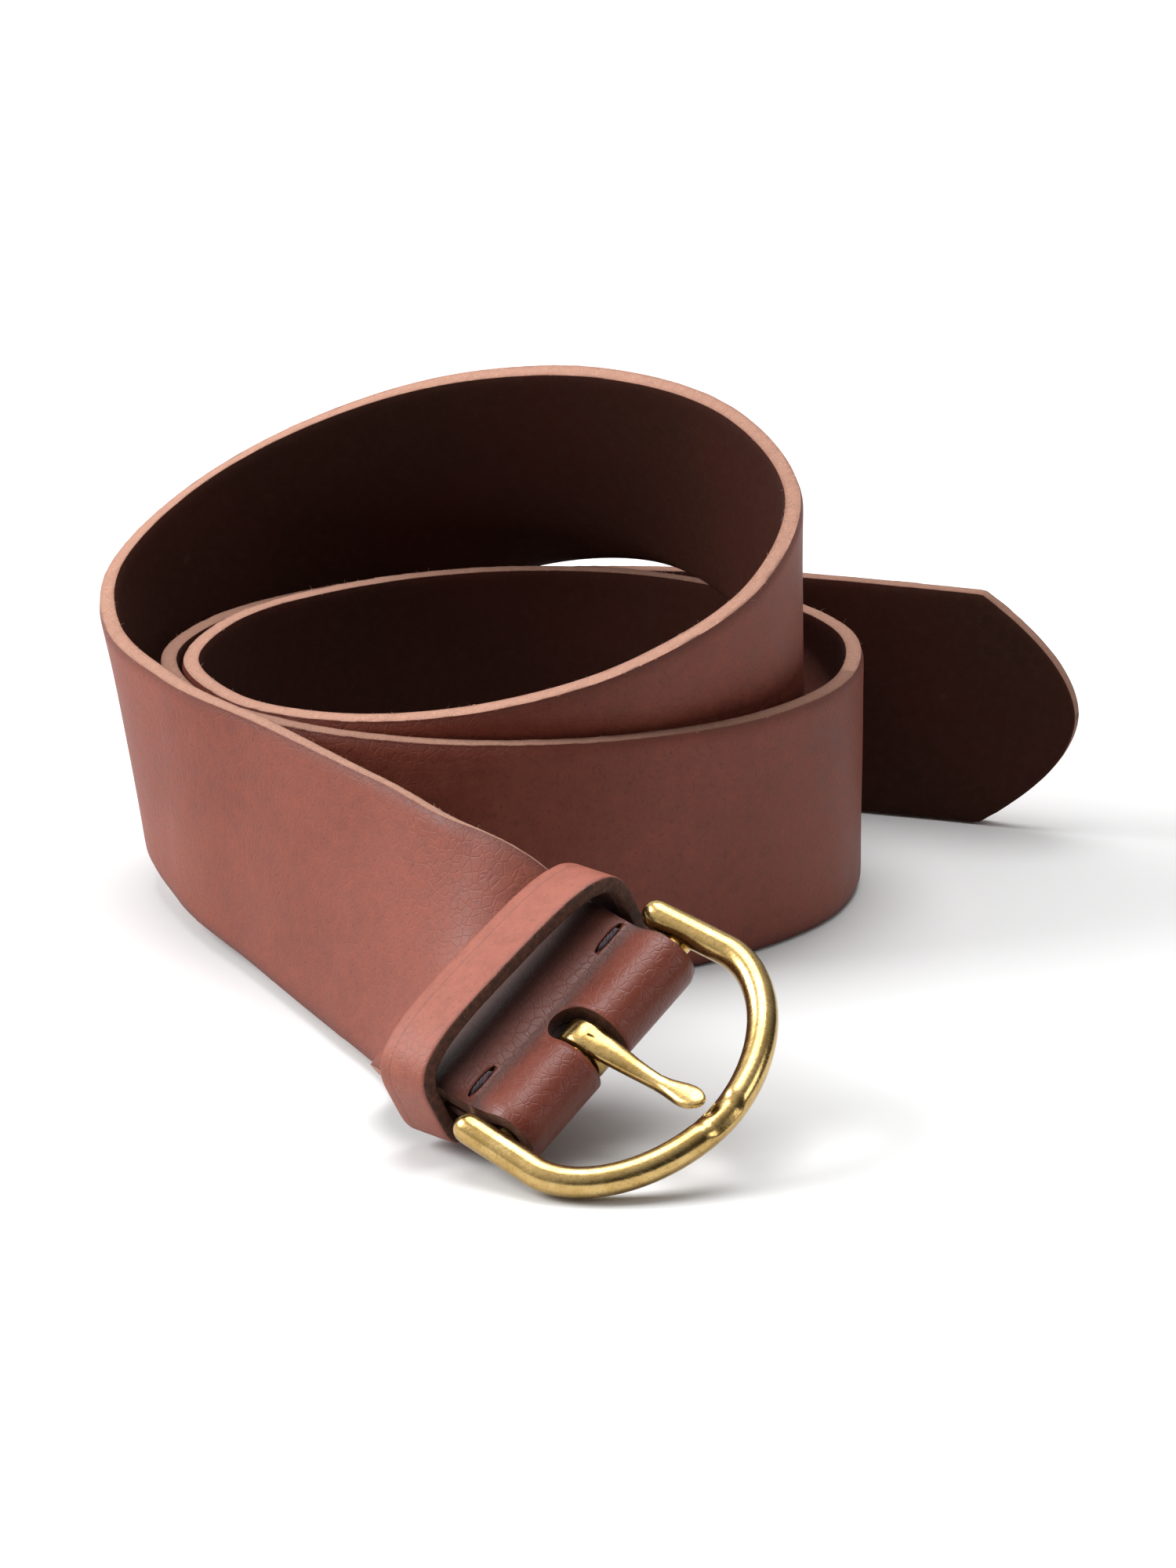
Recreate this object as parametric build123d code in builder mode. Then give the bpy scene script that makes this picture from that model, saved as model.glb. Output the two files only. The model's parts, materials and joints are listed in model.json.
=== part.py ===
from build123d import *
import math
import os

# A gentleman's leather belt with a brass D buckle, lying coiled on a table.
# Millimetres, +Z up, origin on the table under the middle of the coil.
# The strap stands on its lower edge. It leaves the buckle low at the front, climbs round
# the back, comes down inside, and makes one more turn flat on the table to its pointed end.

# ---- Strap ----
STRAP_WIDTH = 40.0
STRAP_THICK = 3.2
HALF_WIDTH = STRAP_WIDTH / 2
HALF_THICK = STRAP_THICK / 2
SECTIONS_PER_STATION = 4
TABLE_CUT = 400.0

# Where the middle of the bar is, and how the buckle is turned from lying level, facing +X
COIL_CENTRE = Vector(0.92, -8.4, 0.05)
BAR_CENTRE = Vector(0.45, -73.65, 15.5) - COIL_CENTRE
BUCKLE_YAW = -34.3
BUCKLE_PITCH = 16.1
BUCKLE_ROLL = 30.2

# ---- Fold of the strap round the bar (in the buckle's axes: forward u, across v, outward n) ----
FOLD_SHIFT = -0.5
LAYER_GAP = 0.1
LAYER_IN = LAYER_GAP / 2
LAYER_OUT = LAYER_IN + STRAP_THICK
UNDER_THICK = 2.6
UNDER_OUT = LAYER_IN + UNDER_THICK
FOLD_PINCH = -6.5
FOLD_END = -12.5
FLAP_LENGTH = 10.0
FLAP_END_THICK = 1.6
FLAP_INSET = 1.5

# ---- Buckle ----
BAR_RADIUS = 2.0
BAR_DROP = 1.9
WIRE_RADIUS = 2.4
ARM_BACK = -4.9
ARM_FRONT = 8.1
ARM_HALF_BACK = 23.4
ARM_HALF_FRONT = 24.0
BOW_REACH = 17.2
BOW_POWER = 1.86
FOLD_INNER = BAR_RADIUS + 0.1
FOLD_OUTER = FOLD_INNER + STRAP_THICK

# ---- Tongue ----
TONGUE_V = -1.2
TONGUE_RING_WIDTH = 4.6
TONGUE_RING_OUTER = 4.4
TONGUE_RUNNING_FIT = 0.06
NOTCH_RADIUS = 1.7
NOTCH_U = 23.2
NOTCH_N = 4.4

# ---- Tongue slot, punched through both layers of the fold ----
SLOT_WIDTH = 6.8
SLOT_V = -1.2
SLOT_BACK = -6.0

# ---- Keeper ----
KEEPER_HALF_WIDTH = 24.0
KEEPER_HALF_HEIGHT = 9.8
KEEPER_HALF_DEPTH = 9.8
KEEPER_WALL = 2.4
KEEPER_POWER = 3.5
KEEPER_UNDER_POWER = 6.0
KEEPER_LENGTH = 10.0
KEEPER_TILT = 22.0
KEEPER_YAW = -2.0
KEEPER_U = -9.95
KEEPER_V = -0.35
KEEPER_N = 2.45
KEEPER_SEAM = 0.15
STAPLE_WIRE = 0.4
STAPLE_SPAN = 5.0
STAPLE_FIT = 0.05
STAPLE_STANDOFF = 0.15

# ---- Tack stitches beside the fold ----
TACK_U = -7.9
TACK_V = 15.7
TACK_LENGTH = 6.0
TACK_WIDTH = 1.8
TACK_THREAD = 0.9
TACK_FIT = 0.05
TACK_BRIDGE = TACK_LENGTH - 2 * TACK_THREAD - 2 * TACK_FIT
TACK_HEIGHT = LAYER_OUT + UNDER_OUT
TACK_MIDDLE = (LAYER_OUT - UNDER_OUT) / 2

# ---- Punched holes and pointed end ----
HOLE_COUNT = 5
HOLE_RADIUS = 2.5
HOLE_PITCH = 25.0
FIRST_HOLE = 105.0
HOLE_OVERRUN = 0.15
TIP_LENGTH = 17.0

# Stations along the strap from the buckle to the pointed end. Each is the lower edge of the
# strap's middle layer (x, y, z) and how far the upper edge leans from above it (x, y).
STATIONS = [
    (-26.8, -73.7, 8.0, 22.9, 24.7),
    (-26.7, -59, 3.2, 8, 18.1),
    (-38.6, -32.8, 1.6, 6, 6.9),
    (-51.9, -6.7, 2.3, 2.1, 0.2),
    (-64.6, 18, 3.6, -1.7, -5.2),
    (-70.3, 39.8, 6.7, -5.8, -8.5),
    (-63.5, 57.5, 13.1, -13.3, -8.7),
    (-48.9, 69.3, 22, -15.7, -4.9),
    (-29, 78.1, 31.9, -14.5, -7.4),
    (-6.9, 80.3, 40.4, -11.9, -12.7),
    (12.8, 72.4, 43.3, -8.6, -14.5),
    (26.4, 56.5, 39.7, -2.6, -13.8),
    (32.9, 39, 32.9, -0.4, -15.3),
    (31.3, 22.1, 24.4, -5.3, -15.7),
    (18, 8.8, 15.4, -9.5, -12.7),
    (-5.2, 2.8, 7.5, -9.2, -9),
    (-30.4, 5.5, 2.4, -7.6, -5.7),
    (-50.6, 15.7, 0.4, -5.2, -3.2),
    (-59, 30.5, 0.8, -4.8, -1.1),
    (-55.3, 47.2, 1.7, -2.3, -0.4),
    (-39.5, 62, 2.4, 0, -0.8),
    (-15.3, 70, 2.4, 0.6, -0.2),
    (10.5, 68.9, 1.6, 0.7, 0.6),
    (31.6, 59.6, 0.6, 0.2, -0.6),
    (42.3, 42.9, 0.3, -0.2, -0.2),
    (39.8, 23.8, 0, 1, -1.1),
    (25.8, 5.9, 0, 1.5, -1.3),
    (4.2, -6, 0, 0.2, -0.3),
    (-21.5, -7.5, 0, -0.2, -0.6),
    (-44.5, 1, 0, -1.1, -1.3),
    (-59.5, 16.5, 0, -3, -1.4),
    (-64.7, 34.6, 0, -2.7, -0.3),
    (-59.9, 52.2, 0, 0, 0.3),
    (-44.9, 66.6, 0, 0.9, -0.5),
    (-23.1, 75.1, 0, 0.3, -0.6),
    (2, 77.6, 0, 0, -0.3),
    (28.5, 74.5, 0, 0.2, 0.7),
    (55.6, 67.8, 0, 0.1, 0.1),
]
# The tail runs straight on from the last station, this way and this far
TAIL_END = (81.5, 59.6, 0, 0, -0.1)


def turned(u, v, n):
    """A direction in the buckle's own axes (forward, across, outward), in the model's."""
    tipped = Vector(u, v, n).rotate(Axis.X, BUCKLE_ROLL)
    return tipped.rotate(Axis.Y, BUCKLE_PITCH).rotate(Axis.Z, BUCKLE_YAW)


FORWARD = turned(1, 0, 0)
ACROSS = turned(0, 1, 0)
OUTWARD = turned(0, 0, 1)


def at(u, v, n):
    """A point in the buckle's own axes, whose origin is the middle of the bar."""
    return BAR_CENTRE + FORWARD * u + ACROSS * v + OUTWARD * n


def flat_plane(n):
    """A plane level with the buckle, n outward of the bar; sketches there are in (u, v)."""
    return Plane(origin=at(0, 0, n), x_dir=FORWARD, z_dir=OUTWARD)


def side_plane(v):
    """A plane across the bar at v, facing the near side; sketches there are in (u, n)."""
    return Plane(origin=at(0, v, 0), x_dir=FORWARD, z_dir=ACROSS * -1)


def tack_plane(reach):
    """A plane across the tack stitches, facing forward; sketches there are in (v, n)."""
    return Plane(origin=at(TACK_U + reach, 0, 0), x_dir=ACROSS, z_dir=FORWARD)


# ---- The strap's route ----
def start_station(u):
    """The strap's station u behind the bar, where it still lies flat in the buckle's plane."""
    low = at(u, FOLD_SHIFT - HALF_WIDTH, LAYER_IN + HALF_THICK) + COIL_CENTRE
    lean = ACROSS * STRAP_WIDTH
    return (low.X, low.Y, low.Z, lean.X, lean.Y)


ROUTE = [start_station(FOLD_PINCH), start_station(FOLD_END)] + STATIONS + [TAIL_END]


def gap(a, b):
    """How far apart the middles of two stations are."""
    return math.dist(middle(a), middle(b))


def middle(station):
    """The middle of the strap at a station."""
    x, y, z, lean_x, lean_y = station
    rise = math.sqrt(STRAP_WIDTH**2 - lean_x**2 - lean_y**2)
    return (x + lean_x / 2, y + lean_y / 2, z + rise / 2)


GAPS = [gap(a, b) for a, b in zip(ROUTE, ROUTE[1:])]


def slope(i):
    """Rate of change of the route at station i, per millimetre."""
    if i == 0:
        return [(b - a) / GAPS[0] for a, b in zip(ROUTE[0], ROUTE[1])]
    if i == len(ROUTE) - 1:
        return [(b - a) / GAPS[-1] for a, b in zip(ROUTE[-2], ROUTE[-1])]
    before = GAPS[i - 1]
    after = GAPS[i]
    rates = []
    for a, b, c in zip(ROUTE[i - 1], ROUTE[i], ROUTE[i + 1]):
        rate = ((b - a) / before * after + (c - b) / after * before) / (before + after)
        rates.append(rate)
    return rates


SLOPES = [slope(i) for i in range(len(ROUTE))]


def station_at(distance):
    """The station that far along the route from its start, on a cubic between neighbours."""
    i = 0
    while i < len(GAPS) - 1 and distance > GAPS[i]:
        distance -= GAPS[i]
        i += 1
    t = distance / GAPS[i]
    values = []
    for a, b, m, k in zip(ROUTE[i], ROUTE[i + 1], SLOPES[i], SLOPES[i + 1]):
        rise = b - a
        bend_in = m * GAPS[i] - rise
        bend_out = rise - k * GAPS[i]
        values.append(a + t * rise + t * (1 - t) * ((1 - t) * bend_in + t * bend_out))
    return values


def strap_plane(distance, offset=0.0):
    """The strap's cross-section plane: x up the strap, y out of its flesh side."""
    here = station_at(distance)
    before = Vector(*middle(station_at(distance - 0.5)))
    after = Vector(*middle(station_at(distance + 0.5)))
    along = (after - before).normalized()
    centre = Vector(*middle(here)) - COIL_CENTRE
    rise = math.sqrt(STRAP_WIDTH**2 - here[3] ** 2 - here[4] ** 2)
    up = Vector(here[3], here[4], rise)
    flesh = along.cross(up).normalized()
    return Plane(origin=centre + flesh * offset, x_dir=up, z_dir=along)


ROUTE_START = GAPS[0]
ROUTE_LENGTH = sum(GAPS) - 1.0
SECTION_COUNT = len(ROUTE) * SECTIONS_PER_STATION

# ---- Strap: one length of leather, fold and flap included ----
with BuildPart() as strap:
    for step in range(SECTION_COUNT + 1):
        along = ROUTE_START + (ROUTE_LENGTH - ROUTE_START) * step / SECTION_COUNT
        with BuildSketch(strap_plane(along)):
            Rectangle(STRAP_WIDTH, STRAP_THICK)
    loft(ruled=True)

    # Turned-back flap, thinned towards its end, lying under the first of the strap
    for step in range(4):
        share = step / 3
        thick = UNDER_THICK + (FLAP_END_THICK - UNDER_THICK) * share
        drop = LAYER_GAP + HALF_THICK + thick / 2
        with BuildSketch(strap_plane(ROUTE_START + FLAP_LENGTH * share, drop)):
            Rectangle(STRAP_WIDTH - 2 * FLAP_INSET, thick)
    loft(ruled=True)

    # Fold round the bar
    with BuildSketch(side_plane(FOLD_SHIFT + HALF_WIDTH)):
        with BuildLine():
            top = Line((FOLD_END, LAYER_OUT), (FOLD_PINCH, LAYER_OUT))
            roll = CenterArc((0, 0), FOLD_OUTER, 105, -210)
            Spline(top @ 1, roll @ 0, tangents=(top % 1, roll % 0))
            under = Line((FOLD_PINCH, -UNDER_OUT), (FOLD_END, -UNDER_OUT))
            Spline(roll @ 1, under @ 0, tangents=(roll % 1, under % 0))
            Line(under @ 1, top @ 0)
        make_face()
        Circle(FOLD_INNER, mode=Mode.SUBTRACT)
        with Locations((FOLD_END / 2 - 0.5, 0)):
            Rectangle(-FOLD_END + 1, LAYER_GAP, mode=Mode.SUBTRACT)
    extrude(amount=STRAP_WIDTH)

    # The lower turn's edge is worn flat where it stands on the table
    with BuildSketch(Plane.XY):
        Rectangle(TABLE_CUT, TABLE_CUT)
    extrude(amount=-5, mode=Mode.SUBTRACT)

    # Slot for the tongue
    with BuildSketch(flat_plane(-8)):
        with Locations((SLOT_BACK + SLOT_WIDTH / 2, SLOT_V)):
            Circle(SLOT_WIDTH / 2)
        with Locations((SLOT_BACK + SLOT_WIDTH / 2, SLOT_V)):
            Rectangle(12, SLOT_WIDTH, align=(Align.MIN, Align.CENTER))
    extrude(amount=16, mode=Mode.SUBTRACT)

    # Slits that the tack stitches lie in, level with the leather on both faces
    for side in (-1, 1):
        with BuildSketch(tack_plane(TACK_WIDTH / 2 + TACK_FIT)):
            with Locations((FOLD_SHIFT + side * TACK_V, TACK_MIDDLE)):
                Rectangle(TACK_LENGTH + 2 * TACK_FIT, TACK_HEIGHT + 2)
                bridge_height = TACK_HEIGHT - 2 * TACK_THREAD - 2 * TACK_FIT
                Rectangle(TACK_BRIDGE, bridge_height, mode=Mode.SUBTRACT)
        extrude(amount=-TACK_WIDTH - 2 * TACK_FIT, mode=Mode.SUBTRACT)

    # Punched holes
    for hole in range(HOLE_COUNT):
        place = strap_plane(ROUTE_LENGTH - FIRST_HOLE - hole * HOLE_PITCH)
        with BuildSketch(Plane(origin=place.origin, x_dir=place.x_dir, z_dir=place.y_dir)):
            Circle(HOLE_RADIUS)
        extrude(amount=HALF_THICK + HOLE_OVERRUN, both=True, mode=Mode.SUBTRACT)

    # Pointed end
    last = strap_plane(ROUTE_LENGTH)
    with BuildSketch(Plane(origin=last.origin, x_dir=last.z_dir, z_dir=last.y_dir)):
        with BuildLine():
            point = Spline(
                (-TIP_LENGTH, -HALF_WIDTH - 0.2),
                (-10.8, -15),
                (-5.6, -10),
                (0, 0),
                (-5.6, 10),
                (-10.8, 15),
                (-TIP_LENGTH, HALF_WIDTH + 0.2),
            )
            Polyline(
                point @ 1,
                (-TIP_LENGTH, HALF_WIDTH + 6),
                (8, HALF_WIDTH + 6),
                (8, -HALF_WIDTH - 6),
                (-TIP_LENGTH, -HALF_WIDTH - 6),
                point @ 0,
            )
        make_face()
    extrude(amount=3 * STRAP_THICK, both=True, mode=Mode.SUBTRACT)
strap.part.label = "strap"


# ---- Buckle frame: a wire D with rounded ends ----
def bow_point(angle):
    """A point of the bow's centre line, in (u, v)."""
    power = 2 / BOW_POWER
    u = ARM_FRONT + BOW_REACH * math.cos(angle) ** power
    v = ARM_HALF_FRONT * math.copysign(abs(math.sin(angle)) ** power, angle)
    return (u, v)


BOW_POINTS = [bow_point(math.radians(a)) for a in (-72, -54, -36, -18, 0, 18, 36, 54, 72)]

with BuildPart() as buckle_frame:
    with BuildLine(flat_plane(BAR_DROP)):
        near_arm = Line((ARM_BACK, -ARM_HALF_BACK), (ARM_FRONT, -ARM_HALF_FRONT))
        bow = Spline(
            near_arm @ 1,
            *[flat_plane(BAR_DROP).from_local_coords(Vector(u, v, 0)) for u, v in BOW_POINTS],
            near_arm @ 1 + ACROSS * (2 * ARM_HALF_FRONT),
            tangents=(FORWARD, FORWARD * -1),
        )
        far_arm = Line(bow @ 1, (ARM_BACK, ARM_HALF_BACK))
    with BuildSketch(Plane(origin=near_arm @ 0, z_dir=near_arm % 0)):
        Circle(WIRE_RADIUS)
    sweep()

    # Rounded ends of the arms
    for side in (-1, 1):
        with Locations(Location(at(ARM_BACK, side * ARM_HALF_BACK, BAR_DROP))):
            Sphere(WIRE_RADIUS)

    # Notch that the tip of the tongue rests in
    with Locations(Location(at(NOTCH_U, TONGUE_V, NOTCH_N))):
        Sphere(NOTCH_RADIUS, mode=Mode.SUBTRACT)
buckle_frame.part.label = "buckle_frame"

# ---- Centre bar, its ends shaped to the arms and brazed to them ----
with BuildPart() as centre_bar:
    with BuildSketch(side_plane(ARM_HALF_BACK)):
        Circle(BAR_RADIUS)
    extrude(amount=2 * ARM_HALF_BACK)
    add(buckle_frame.part, mode=Mode.SUBTRACT)
centre_bar.part.label = "centre_bar"

# ---- Tongue: a ring round the bar, a waisted shank and a spoon-shaped tip ----
# Along the shank: how far forward and outward its middle is, its width and its thickness
TONGUE_SECTIONS = [
    (0.6, 3.2, 4.6, 2.3),
    (4.5, 3.0, 4.3, 2.4),
    (9.0, 2.4, 3.3, 2.2),
    (13.5, 2.2, 2.6, 2.1),
    (17.0, 2.7, 3.4, 2.0),
    (19.5, 3.2, 4.1, 1.8),
    (21.2, 3.6, 3.2, 1.4),
    (22.2, 3.9, 1.6, 0.8),
]

with BuildPart() as tongue:
    for u, n, width, thick in TONGUE_SECTIONS:
        with BuildSketch(Plane(origin=at(u, TONGUE_V, n), x_dir=ACROSS, z_dir=FORWARD)):
            Ellipse(width / 2, thick / 2)
    loft()
    with BuildSketch(side_plane(TONGUE_V + TONGUE_RING_WIDTH / 2)):
        Circle(TONGUE_RING_OUTER)
    extrude(amount=TONGUE_RING_WIDTH)
    with BuildSketch(side_plane(TONGUE_V + TONGUE_RING_WIDTH / 2)):
        Circle(BAR_RADIUS + TONGUE_RUNNING_FIT)
    extrude(amount=TONGUE_RING_WIDTH, mode=Mode.SUBTRACT)
tongue.part.label = "tongue"


# ---- Keeper: a leather band, its ends butted underneath and stapled ----
def keeper_direction(along, across, up):
    """A direction in the keeper's axes (its length, its width, its height), in the model's."""
    tipped = Vector(along, across, up).rotate(Axis.Y, -KEEPER_TILT).rotate(Axis.Z, KEEPER_YAW)
    return turned(tipped.X, tipped.Y, tipped.Z)


KEEPER_ALONG = keeper_direction(1, 0, 0)
KEEPER_ACROSS = keeper_direction(0, 1, 0)
KEEPER_UP = keeper_direction(0, 0, 1)


def keeper_plane(back, up=0.0):
    """The keeper's cross-section plane that far behind its front edge; (across, up)."""
    origin = at(KEEPER_U, KEEPER_V, KEEPER_N) - KEEPER_ALONG * back + KEEPER_UP * up
    return Plane(origin=origin, x_dir=KEEPER_ACROSS, z_dir=KEEPER_ALONG)


def keeper_outline(inset):
    """Points round a flat-sided oval, squarer underneath than on top."""
    points = []
    for step in range(0, 360, 15):
        angle = math.radians(step)
        top = step <= 180
        power = 2 / (KEEPER_POWER if top else KEEPER_UNDER_POWER)
        height = (KEEPER_HALF_HEIGHT if top else KEEPER_HALF_DEPTH) - inset
        across = abs(math.cos(angle)) ** power * (KEEPER_HALF_WIDTH - inset)
        up = abs(math.sin(angle)) ** power * height
        across = math.copysign(across, math.cos(angle))
        points.append((across, math.copysign(up, math.sin(angle))))
    return points


def staple_plane(back, below=0.0):
    """A plane level with the keeper's underside or below it; sketches are (across, along)."""
    origin = keeper_plane(back, -KEEPER_HALF_DEPTH - below).origin
    return Plane(origin=origin, x_dir=KEEPER_ACROSS, z_dir=KEEPER_UP)


STAPLE_PLACES = (KEEPER_LENGTH * 0.3, KEEPER_LENGTH * 0.7)

with BuildPart() as keeper_band:
    with BuildSketch(keeper_plane(0)):
        with BuildLine():
            Spline(keeper_outline(0), periodic=True)
        make_face()
        with BuildLine():
            Spline(keeper_outline(KEEPER_WALL), periodic=True)
        make_face(mode=Mode.SUBTRACT)
        with Locations((0, -KEEPER_HALF_DEPTH)):
            Rectangle(KEEPER_SEAM, 3 * KEEPER_WALL, mode=Mode.SUBTRACT)
    extrude(amount=-KEEPER_LENGTH)

    # Holes for the staples' legs
    for back in STAPLE_PLACES:
        with BuildSketch(staple_plane(back)):
            with Locations((-STAPLE_SPAN / 2, 0), (STAPLE_SPAN / 2, 0)):
                Circle(STAPLE_WIRE + STAPLE_FIT)
        extrude(amount=KEEPER_WALL * 0.75, both=True, mode=Mode.SUBTRACT)
keeper_band.part.label = "keeper_band"

with BuildPart() as keeper_staples:
    for back in STAPLE_PLACES:
        with BuildSketch(staple_plane(back)):
            with Locations((-STAPLE_SPAN / 2, 0), (STAPLE_SPAN / 2, 0)):
                Circle(STAPLE_WIRE)
        extrude(amount=KEEPER_WALL * 0.7)
        with BuildSketch(staple_plane(back)):
            with Locations((-STAPLE_SPAN / 2, 0), (STAPLE_SPAN / 2, 0)):
                Circle(STAPLE_WIRE)
        extrude(amount=-STAPLE_STANDOFF)
        with BuildSketch(staple_plane(back, STAPLE_STANDOFF)):
            Rectangle(STAPLE_SPAN + 2 * STAPLE_WIRE, 2 * STAPLE_WIRE)
        extrude(amount=-2 * STAPLE_WIRE)
keeper_staples.part.label = "keeper_staples"


# ---- Tack stitches: waxed thread looped through both layers ----
def make_tack(side):
    """A closed loop of thread, flush with the leather on both faces."""
    with BuildPart() as tack:
        with BuildSketch(tack_plane(TACK_WIDTH / 2)):
            with Locations((FOLD_SHIFT + side * TACK_V, TACK_MIDDLE)):
                RectangleRounded(TACK_LENGTH, TACK_HEIGHT, TACK_THREAD / 2)
                inside_length = TACK_LENGTH - 2 * TACK_THREAD
                inside_height = TACK_HEIGHT - 2 * TACK_THREAD
                Rectangle(inside_length, inside_height, mode=Mode.SUBTRACT)
        extrude(amount=-TACK_WIDTH)
    return tack


near_tack_stitch = make_tack(-1)
near_tack_stitch.part.label = "near_tack_stitch"
far_tack_stitch = make_tack(1)
far_tack_stitch.part.label = "far_tack_stitch"

os.makedirs("parts", exist_ok=True)
for piece in (
    strap,
    buckle_frame,
    centre_bar,
    tongue,
    keeper_band,
    keeper_staples,
    near_tack_stitch,
    far_tack_stitch,
):
    export_step(piece.part, f"parts/{piece.part.label}.step")
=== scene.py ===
import json
import math
import bmesh
import bpy
import numpy as np
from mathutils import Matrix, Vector, noise


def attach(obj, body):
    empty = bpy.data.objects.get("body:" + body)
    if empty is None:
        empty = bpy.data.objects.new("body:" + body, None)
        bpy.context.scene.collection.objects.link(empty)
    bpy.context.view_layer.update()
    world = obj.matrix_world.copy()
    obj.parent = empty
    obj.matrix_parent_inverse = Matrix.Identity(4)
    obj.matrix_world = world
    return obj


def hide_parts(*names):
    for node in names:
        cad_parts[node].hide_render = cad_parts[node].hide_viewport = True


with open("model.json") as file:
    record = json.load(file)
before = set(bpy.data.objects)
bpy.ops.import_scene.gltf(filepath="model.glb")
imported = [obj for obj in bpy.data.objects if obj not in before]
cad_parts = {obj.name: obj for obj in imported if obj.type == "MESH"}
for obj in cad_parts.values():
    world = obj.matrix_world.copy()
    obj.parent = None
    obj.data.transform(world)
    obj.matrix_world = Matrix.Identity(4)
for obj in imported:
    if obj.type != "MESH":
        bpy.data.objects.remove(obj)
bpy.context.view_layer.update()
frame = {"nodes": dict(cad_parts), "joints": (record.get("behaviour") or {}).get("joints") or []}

# Leather belt, coiled on its edge, with a brass D buckle. Metres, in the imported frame.
MM = 0.001
RNG = np.random.default_rng(7)
SCENE = bpy.context.scene
SCENE.view_settings.view_transform = "Standard"
SCENE.view_settings.look = "None"


# ------------------------------------------------------------------ node helpers
class Nodes:
    """A short way to write a node tree."""

    def __init__(self, name):
        self.mat = bpy.data.materials.new(name)
        self.mat.use_nodes = True
        self.tree = self.mat.node_tree
        self.tree.nodes.clear()
        self.out = self.tree.nodes.new("ShaderNodeOutputMaterial")
        self.bsdf = self.tree.nodes.new("ShaderNodeBsdfPrincipled")
        self.link(self.bsdf.outputs[0], self.out.inputs[0])
        self.coord = self.tree.nodes.new("ShaderNodeTexCoord").outputs["Object"]

    def link(self, a, b):
        self.tree.links.new(a, b)

    def put(self, socket, value):
        if hasattr(value, "default_value") or hasattr(value, "is_output"):
            self.link(value, socket)
        else:
            socket.default_value = value

    def noise(self, scale, detail=4.0, rough=0.55, vector=None, distortion=0.0):
        n = self.tree.nodes.new("ShaderNodeTexNoise")
        self.link(vector or self.coord, n.inputs["Vector"])
        n.inputs["Scale"].default_value = scale
        n.inputs["Detail"].default_value = detail
        n.inputs["Roughness"].default_value = rough
        n.inputs["Distortion"].default_value = distortion
        return n.outputs["Fac"]

    def voronoi(self, scale, feature="F1"):
        n = self.tree.nodes.new("ShaderNodeTexVoronoi")
        n.feature = feature
        self.link(self.coord, n.inputs["Vector"])
        n.inputs["Scale"].default_value = scale
        return n.outputs["Distance"]

    def attr(self, name):
        n = self.tree.nodes.new("ShaderNodeAttribute")
        n.attribute_name = name
        return n.outputs["Fac"]

    def map(self, value, a, b, c=0.0, d=1.0):
        n = self.tree.nodes.new("ShaderNodeMapRange")
        for key, v in zip(("Value", "From Min", "From Max", "To Min", "To Max"), (value, a, b, c, d)):
            self.put(n.inputs[key], v)
        return n.outputs["Result"]

    def math(self, op, a, b):
        n = self.tree.nodes.new("ShaderNodeMath")
        n.operation = op
        self.put(n.inputs[0], a)
        self.put(n.inputs[1], b)
        return n.outputs[0]

    def mix(self, fac, a, b):
        n = self.tree.nodes.new("ShaderNodeMix")
        n.data_type = "RGBA"
        self.put(n.inputs["Factor"], fac)
        self.put(n.inputs[6], (*a, 1.0) if isinstance(a, tuple) else a)
        self.put(n.inputs[7], (*b, 1.0) if isinstance(b, tuple) else b)
        return n.outputs[2]

    def stretch(self, x, y, z):
        n = self.tree.nodes.new("ShaderNodeMapping")
        self.link(self.coord, n.inputs["Vector"])
        n.inputs["Scale"].default_value = (x, y, z)
        return n.outputs[0]

    def bump(self, height, distance, strength=1.0, below=None):
        n = self.tree.nodes.new("ShaderNodeBump")
        self.put(n.inputs["Height"], height)
        n.inputs["Distance"].default_value = distance
        n.inputs["Strength"].default_value = strength
        if below is not None:
            self.link(below, n.inputs["Normal"])
        return n.outputs["Normal"]

    def finish(self, **values):
        for key, value in values.items():
            name = key.replace("_", " ")
            if isinstance(value, tuple):
                value = (*value, 1.0)
            self.put(self.bsdf.inputs[name], value)
        return self.mat


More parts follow.
